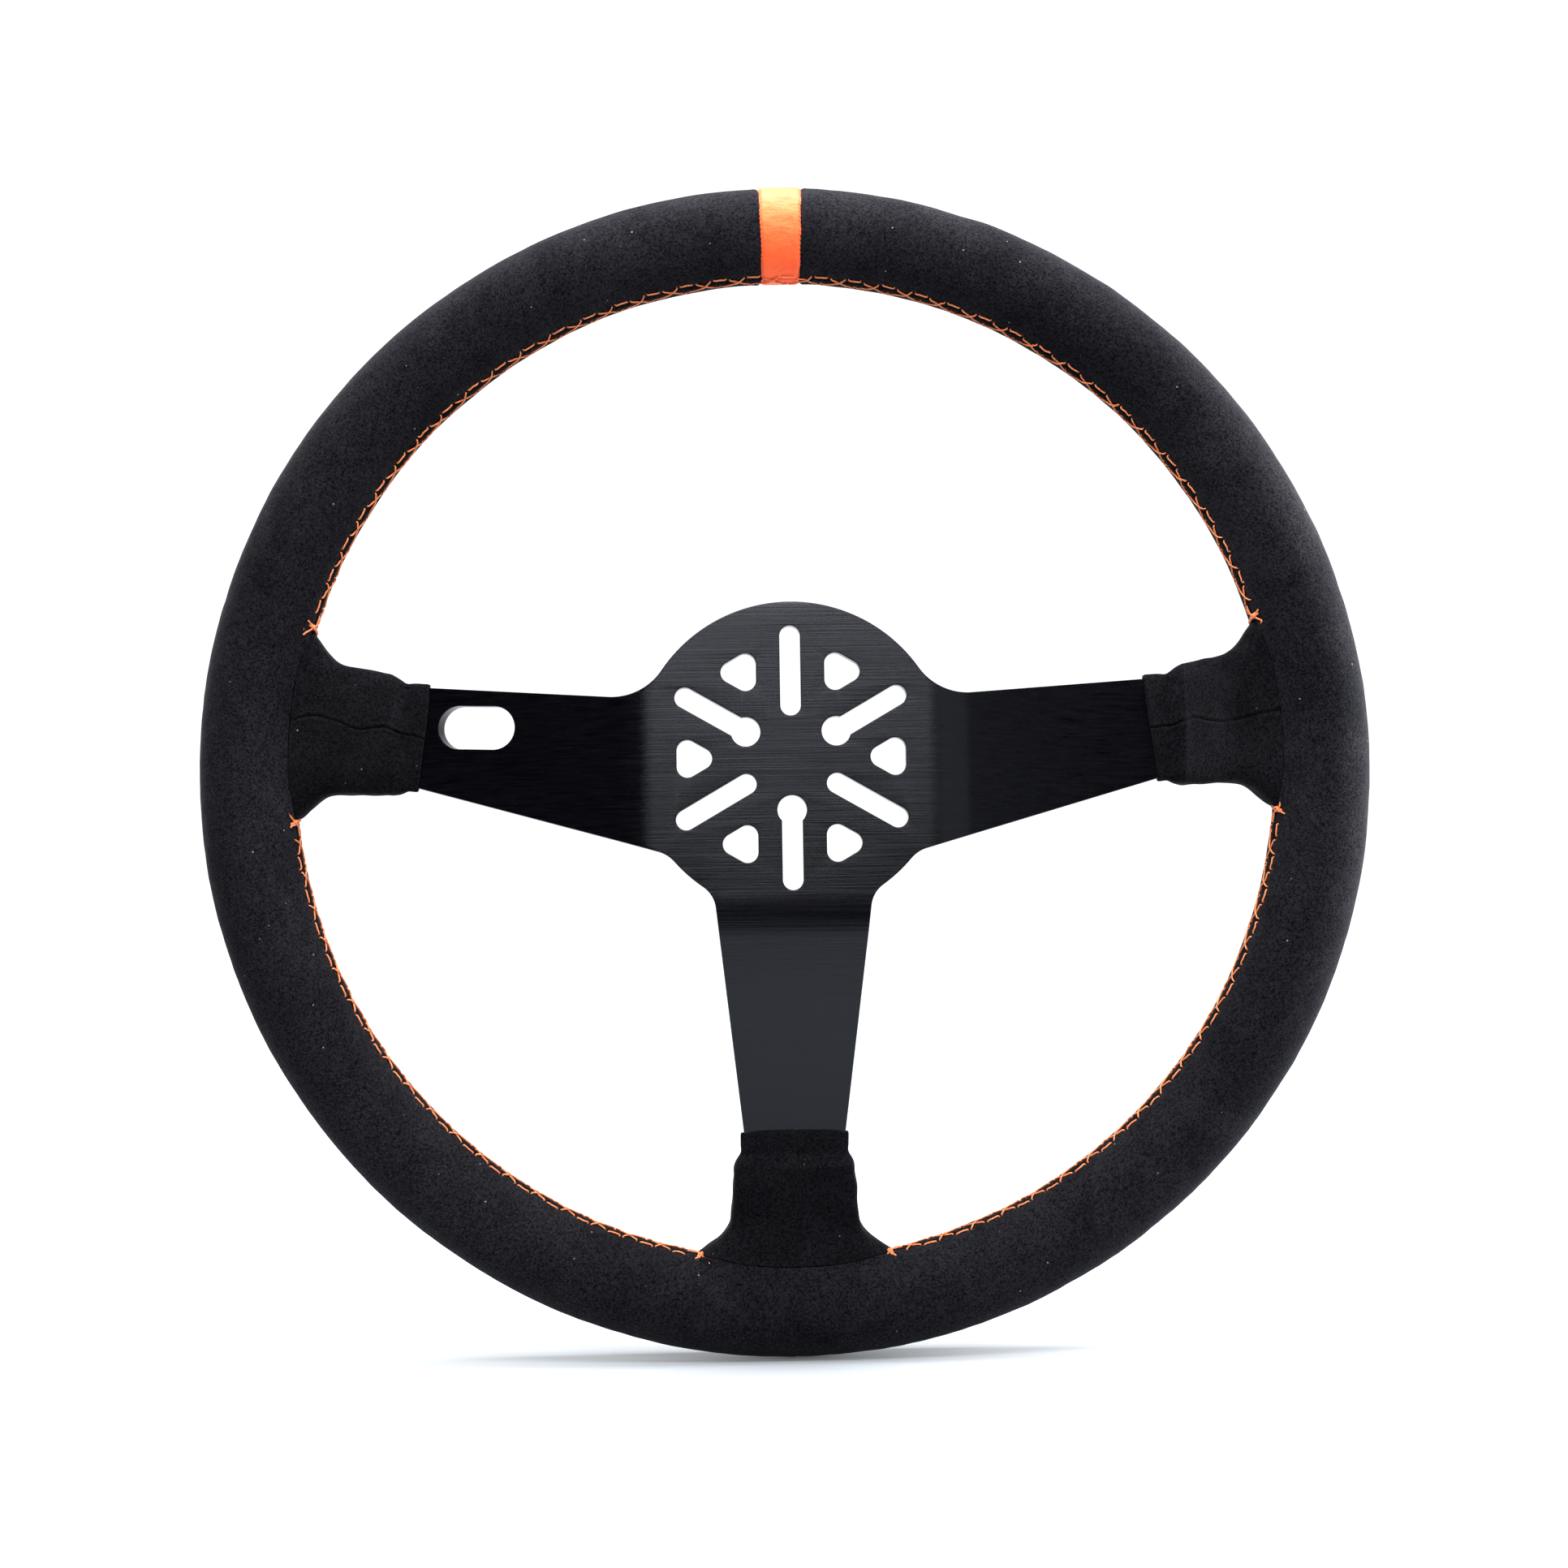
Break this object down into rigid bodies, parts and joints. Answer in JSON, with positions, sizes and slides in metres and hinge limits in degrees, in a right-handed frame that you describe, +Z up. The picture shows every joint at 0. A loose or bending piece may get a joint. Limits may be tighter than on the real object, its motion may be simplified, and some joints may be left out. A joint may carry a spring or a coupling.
{
  "type": "quick release steering wheel",
  "caption": "Dished three-spoke motorsport steering wheel with a stitched suede rim and a slotted hub plate that bolts to a quick release hub.",
  "frame": {"origin": "middle of the hub's outer face, where it meets the quick release hub", "axes": "+X to the right and +Z up with the wheel upright, seen from the steering column; +Y from the hub's outer face back to the rim and the driver"},
  "size_m": [0.381, 0.0608, 0.3813],
  "materials": {
    "plate_black": "black anodised, brushed satin",
    "bare_alloy": "mill finish",
    "rivet_alloy": "mill finish",
    "foam_grey": "moulded polyurethane foam",
    "suede_black": "black suede",
    "stripe_orange": "grained orange leather",
    "thread_orange": "waxed polyester thread"
  },
  "bodies": {
    "root": {"spoke_plate": "plate_black", "rim_hoop": "bare_alloy", "rivets_left": "rivet_alloy", "rivets_right": "rivet_alloy", "rivets_bottom": "rivet_alloy", "grip_foam": "foam_grey", "cover_left": "suede_black", "cover_right": "suede_black", "centre_stripe": "stripe_orange", "sleeve_left": "suede_black", "sleeve_right": "suede_black", "sleeve_bottom": "suede_black", "lacing_top": "thread_orange", "lacing_left": "thread_orange", "lacing_right": "thread_orange"}
  },
  "joints": []
}
